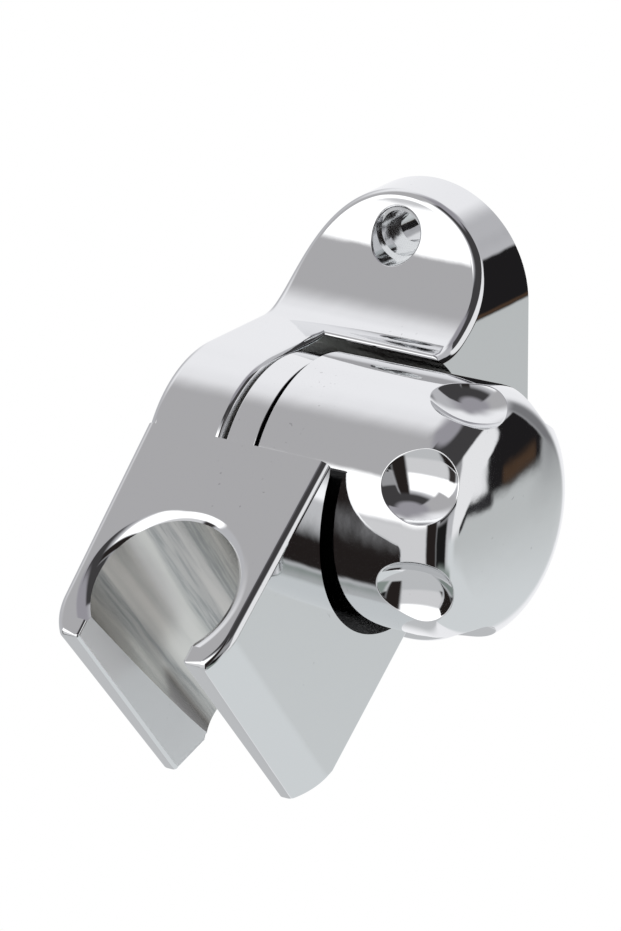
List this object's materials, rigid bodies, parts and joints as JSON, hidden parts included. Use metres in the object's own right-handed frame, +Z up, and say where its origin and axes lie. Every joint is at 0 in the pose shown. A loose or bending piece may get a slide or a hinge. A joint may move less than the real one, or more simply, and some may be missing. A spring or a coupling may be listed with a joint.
{
  "type": "wall-mounted hand shower holder",
  "caption": "Wall-mounted hand shower holder with a swept bracket, a tilting cradle with an open conical socket, and a ribbed clamp knob with dimples.",
  "frame": {"origin": "middle of the wall face, at the height of the barrel", "axes": "+X along the barrel towards the knob, +Y into the wall, +Z up"},
  "size_m": [0.0571, 0.0871, 0.0804],
  "materials": {
    "plated_body": "bright chrome plating on moulded plastic",
    "brass_insert": "turned, bare",
    "friction_washer": "matt black",
    "bush_plastic": "natural",
    "steel_washer": "stamped"
  },
  "bodies": {
    "bracket_body": {"wall_bracket": "plated_body", "pivot_stud": "brass_insert", "inner_friction_washer": "friction_washer"},
    "cradle_body": {"cradle": "plated_body", "hub_bush": "bush_plastic", "outer_friction_washer": "friction_washer"},
    "thrust_body": {"thrust_washer": "steel_washer"},
    "knob_body": {"clamp_knob": "plated_body", "knob_insert": "brass_insert"}
  },
  "joints": [
    {"name": "cradle_tilt", "type": "hinge", "parent": "bracket_body", "child": "cradle_body", "pos_m": [0, -0.0383, 0], "axis": [1, 0, 0], "range_deg": [-91, 12]},
    {"name": "thrust_slide", "type": "slide", "parent": "bracket_body", "child": "thrust_body", "axis": [1, 0, 0], "range_m": [0, 0.002]},
    {"name": "knob_turn", "type": "hinge", "parent": "thrust_body", "child": "knob_body", "pos_m": [0, -0.0383, 0], "axis": [1, 0, 0], "range_deg": [0, 700]}
  ],
  "couplings": [
    {"joint": "thrust_slide", "follows": "knob_turn", "m_per_rad": 0.00015915}
  ]
}
